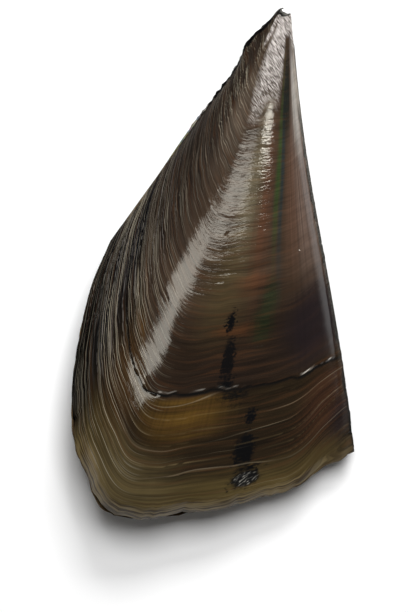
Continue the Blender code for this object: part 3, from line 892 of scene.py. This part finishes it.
def edge_highlights_and_rest_lines(tree, at, colour):
    """Painted highlights on hairs and free edges, and pale rest lines, over a colour. Leaves the edges'
    cover in at.
    """
    # Painted highlights on hairs: single sheets that stand proud on the belly side.
    hair_highlights = lines_along_lip(tree, at["growth"], 3.5, 340, 2.0, (0.58, 0.63, 0.0, 0.55))
    hair_highlights = add(tree, "Math", {0: hair_highlights, 1: at["haired"]}, operation="MULTIPLY")
    # Painted highlights on the free edges of the scales: tan on the slope, pale grey on the belly side.
    edge_highlight_tone = two_tones(tree, at["share"], 0.5, 0.7, "#8f7a55", "#aea79f")
    both = {0: at["fine"], 1: at["fine_light"], 2: at["coarse"]}
    edges = add(tree, "Math", both, operation="MULTIPLY_ADD")
    for zone in ("edge_ages", "edged"):
        edges = add(tree, "Math", {0: edges, 1: at[zone]}, operation="MULTIPLY")
    at["edges"] = edges
    rests = rest_lines(tree, at)
    return lay_over(tree, colour, [(hair_highlights, "#ada48f"), (edges, edge_highlight_tone), (rests, "#ab9c82")])


print("one rest line every", round(HINGE_MM / REST_LINES, 1), "mm")

# %% [markdown]
# Then come the lip and the damage. The lip is dry, layered and tan, with dark gaps between its
# layers. The long rest left a lifted edge whose pale paint is partly chipped horn and partly a painted
# highlight, over a line of painted shade at the foot of the step. The pit is a black wound with torn
# strands across it, 0.6 mm wide. The worn point is chalk with fine slanting striations, drawn
# 0.3 mm wide, and old crust is near black. Strands and striations are fixed to the solid, not to
# the ages, because sand and teeth don't follow growth.

# %% Lip and damage
def lip_and_damage(tree, at, colour, chalky):
    """The lip's layers, both sides of the step, the pit, the worn point and the crust."""
    layers = lines_along_lip(tree, at["growth"], 14, 330, 2.0)
    lip_colour = two_tones(tree, layers, 0.42, 0.58, "#2e2213", "#7b6b49")
    at["dry_lip"] = add(tree, "Math", {0: at["lip"], 1: 0.85}, operation="MULTIPLY")
    torn = slanting_streaks(tree, 28, (2.8, 0.6), 2.0, 0.5)
    torn = add(tree, "MapRange", {0: torn, 1: 0.54, 2: 0.66, 3: 0.0, 4: 0.6})
    strands = add(tree, "Math", {0: torn, 1: at["pit"]}, operation="MULTIPLY")
    wound = lay_over(tree, linear("#050505"), [(strands, "#a8a49a")])
    at["striae"] = slanting_streaks(tree, 27, (0.27, 3.0), 3.0, 0.4)
    chalk = two_tones(tree, at["striae"], at["chalk_from"], 0.58, "#3c322b", "#cdc6c1")
    at["worn"] = add(tree, "MapRange", {0: at["bare"], 1: 0.15, 2: 0.85, 3: 0.0, 4: chalky})
    return lay_over(tree, colour, [
        (at["dry_lip"], lip_colour),
        # Painted shade at the foot of the long rest's step, then the painted highlight on its lifted
        # edge.
        (at["root"], "#080706"),
        (at["glint"], "#d8d2c6"),
        (at["pit"], wound),
        (at["worn"], chalk),
        (at["crust"], CRUST_BLACK),
    ])


print("lip and damage ready")

# %% [markdown]
# The shell's skin is horny protein over thin prisms of calcite, and it is wet-glossy where it is
# whole. The gloss is one smooth layer with the refraction of horn and calcite, about 1.53. Fine
# grain breaks it, and scale edges, chalk, the dry lip and the pit are duller. A clear coat could
# give the shine too, but horn is glossy in itself and has no varnish on it.

# %% The outside: glossy horn over calcite
DULLER = (("worn", 0.22), ("edges", 0.3), ("dry_lip", 0.6), ("hinge_dull", 1.0), ("pit", 0.35))
HORN_REFRACTION = 1.53


def outside_material(name, blotches, chalky):
    """Horn-brown shell with rays, seasons, blotches, growth lines, scale edges and a worn point."""
    made, tree, _ = new_material(name, 0.2, HORN_REFRACTION)
    at = places_and_zones(tree)
    young = paint(tree, linear(HORN_BROWN), at["place"], RAYS_AND_SEASONS)
    late = paint(tree, linear(LATE_BROWN), at["place"], LATE_GROWTH)
    colour = lay_over(tree, young, [(at["recent"], late)])
    colour = lines_of_growth(tree, at, colour)
    torn_edge = lines_along_lip(tree, at["growth"], 90, 190, 3.0)
    colour = paint(tree, colour, pushed(tree, at["place"], torn_edge, (0.05, 0.05)), blotches)
    colour = edge_highlights_and_rest_lines(tree, at, colour)
    colour = lip_and_damage(tree, at, colour, chalky)

    # Roughness: nearly a mirror on whole horn, and duller by the parts of DULLER.
    grain = lines_along_lip(tree, at["growth"], 34, 230, 3.0)
    dull = add(tree, "MapRange", {0: grain, 1: 0.35, 2: 0.75, 3: 0.05, 4: 0.10})
    for zone, more in DULLER:
        dull = add(tree, "Math", {0: at[zone], 1: more, 2: dull}, operation="MULTIPLY_ADD")

    # Relief too fine for the mesh: growth lines, the grain of the prisms and the striations.
    relief = add(tree, "Math", {0: at["threads"], 1: 0.6, 2: grain}, operation="MULTIPLY_ADD")
    scored = add(tree, "Math", {0: at["striae"], 1: at["worn"]}, operation="MULTIPLY")
    relief = add(tree, "Math", {0: scored, 1: 4.0, 2: relief}, operation="MULTIPLY_ADD")
    bump = add(tree, "Bump", {"Height": relief, "Distance": 0.04 * MM, "Strength": 0.8})
    looks = {
        "Base Color": colour, "Roughness": dull, "Specular IOR Level": at["gloss"], "Normal": bump,
    }
    return finished(made, looks)


glossy_horn = outside_material("glossy_horn_over_calcite", BLOTCHES, 0.95)
under_horn = outside_material("glossy_horn_underside", UNDER_BELLY, 0.3)
print("outside finishes", glossy_horn.name, under_horn.name)

# %% [markdown]
# Inside, the front half of a pen shell is lined with mother of pearl and the rest is bare prisms,
# brown and smooth. It hardly shows through the gape, but the model can be seen from all sides.
# The sheen comes from a thin film on the shader, as on the real layers. A painted rainbow would
# stay where it is when the shell turns.

# %% The lining and the ligament's finish
def lining_material():
    """Smooth brown prisms that turn to pearl towards the beak: the film's colours move with the eye."""
    made, tree, shader = new_material("pearl_and_prism_lining", 0.22, 1.6)
    growth = add(tree, "UVMap", uv_map="growth")
    age = add(tree, "SeparateXYZ", {0: growth}, out=1)
    cloud = lines_along_lip(tree, growth, 7, 12, 3.0)
    reach = add(tree, "Math", {0: cloud, 1: 0.25, 2: age}, operation="MULTIPLY_ADD")
    crust = add(tree, "Attribute", out="Fac", attribute_name="crust")
    pearl = two_tones(tree, reach, 0.6, 0.72, "#9c9894", "#5c4a35")
    lines = lines_along_lip(tree, growth, 4, 120, 2.0)
    looks = {
        "Base Color": lay_over(tree, pearl, [(crust, CRUST_BLACK)]),
        "Normal": add(tree, "Bump", {"Height": lines, "Distance": 0.1 * MM, "Strength": 0.4}),
        "Thin Film Thickness": add(tree, "MapRange", {0: crust, 3: PEARL_FILM_NM, 4: 0.0}),
    }
    shader.inputs["Thin Film IOR"].default_value = 1.4
    return finished(made, looks)


def ligament_material():
    """Dried horny protein: near black, with brown layers and a waxy, uneven gloss."""
    made, tree, _ = new_material("dried_horny_ligament", 0.45, 1.54)
    growth = add(tree, "UVMap", uv_map="growth")
    layers = lines_along_lip(tree, growth, 14, 9, 3.0)
    flecks = lines_along_lip(tree, growth, 10, 130, 3.0)
    both = add(tree, "Math", {0: layers, 1: flecks}, operation="MULTIPLY")
    looks = {
        "Base Color": two_tones(tree, both, 0.2, 0.42, "#15110f", "#3d2c20"),
        "Roughness": add(tree, "MapRange", {0: flecks, 1: 0.35, 2: 0.7, 3: 0.3, 4: 0.6}),
        "Normal": add(tree, "Bump", {"Height": flecks, "Distance": 0.3 * MM, "Strength": 0.6}),
    }
    return finished(made, looks)


lining = lining_material()
for piece, finish in ((upper, glossy_horn), (lower, under_horn)):
    piece.data.materials.append(finish)
    piece.data.materials.append(lining)
ligament.data.materials.append(ligament_material())
print("lined with", lining.name)

# %% [markdown]
# The shell lies on a white table under studio light. Polished horn shows the lamps themselves, so
# five low boxes in a row stand only for the gloss: four make the pale band along the ridge, and a
# small bright one makes the sparkle at the point. They don't light the table, as if flags stood
# between. Two wide boxes, overhead and behind, do the rest of the work and cast the soft shadow to
# the lower left. Those two are kept out of reflections, so that the dark horn stays dark.

# %% Table and lights
GLOSS_LAMPS = (  # name, middle in metres, size in metres, how bright its face is
    ("low_softbox", (0.175, 0.068, 1.0), (0.36, 0.136), 4.9),
    ("middle_softbox", (0.40, 0.195, 1.0), (0.34, 0.15), 5.2),
    ("neck_softbox", (0.655, 0.208, 1.0), (0.20, 0.056), 6.2),
    ("far_softbox", (0.80, 0.243, 1.0), (0.19, 0.095), 6.2),
    ("sparkle_softbox", (1.10, 0.297, 1.0), (0.20, 0.038), 34.0),
)
SOFT_LAMPS = (
    ("overhead_softbox", (0.21, 0.52, 1.6), (0.85, 0.8), 11.4),
    ("back_softbox", (0.42, 1.0, 1.1), (0.6, 0.5), 22.0),
)
WARM_WHITE = "#fdf9ec"
ROOM_LIGHT = 0.09
TABLE_HALF_M = 1.5


def white_table():
    """A plain white table, far wider than the picture."""
    mesh = bpy.data.meshes.new("table")
    corners = [(x * TABLE_HALF_M, y * TABLE_HALF_M, 0) for x, y in ((-1, -1), (1, -1), (1, 1), (-1, 1))]
    mesh.from_pydata(corners, [], [(0, 1, 2, 3)])
    table = into_scene("table", mesh)
    made, _, shader = new_material("matt_white_table", 0.9, 1.45)
    shader.inputs["Base Color"].default_value = linear("#fafafa")
    shader.inputs["Specular IOR Level"].default_value = 0.0
    mesh.materials.append(made)


def softbox(name, centre, size, radiance, gloss_only):
    """A rectangular lamp facing down. Its power is worked out from how bright its face looks."""
    lamp = bpy.data.lights.new(name, "AREA")
    lamp.shape = "RECTANGLE"
    lamp.color = linear(WARM_WHITE)[:3] if gloss_only else (1, 1, 1)
    lamp.size, lamp.size_y = size
    lamp.energy = radiance * math.pi * size[0] * size[1]
    made = into_scene(name, lamp)
    made.location = centre
    made.visible_glossy = gloss_only
    made.visible_diffuse = not gloss_only


white_table()
for lamps, gloss_only in ((GLOSS_LAMPS, True), (SOFT_LAMPS, False)):
    for name, centre, size, radiance in lamps:
        softbox(name, centre, size, radiance, gloss_only)
world = bpy.data.worlds.new("studio")
world.use_nodes = True
world.node_tree.nodes["Background"].inputs["Color"].default_value = linear("#ffffff")
world.node_tree.nodes["Background"].inputs["Strength"].default_value = ROOM_LIGHT
bpy.context.scene.world = world
print(len(GLOSS_LAMPS), "lamps for the gloss,", len(SOFT_LAMPS), "for the light, and a pale room")

# %% [markdown]
# The camera looks straight down from two metres, turned a little so that the hinge leans as in the
# photograph. A long lens keeps both ends of the shell at one scale.

# %% Camera
FRAME_HEIGHT_MM = 264.4  # how much of the table, at the shell's mid height, fills the picture
CAMERA_OVER_MM = (2.93, -17.98)
CAMERA_TURN_DEG = -7.91
CAMERA_AWAY_M, MID_HEIGHT_M = 2.0, 0.02
lens = bpy.data.cameras.new("camera")
lens.sensor_width = 36
lens.lens = lens.sensor_width * CAMERA_AWAY_M / (FRAME_HEIGHT_MM * MM)
lens.clip_end = 10
camera = into_scene("camera", lens)
camera.location = (CAMERA_OVER_MM[0] * MM, CAMERA_OVER_MM[1] * MM, CAMERA_AWAY_M + MID_HEIGHT_M)
camera.rotation_euler = (0, 0, math.radians(CAMERA_TURN_DEG))
bpy.context.scene.camera = camera
bpy.context.scene.view_settings.view_transform = "Standard"
print("lens", round(lens.lens), "mm")

# %% [markdown]
# Last, the view layer is brought up to date.

# %% Update the scene
bpy.context.view_layer.update()
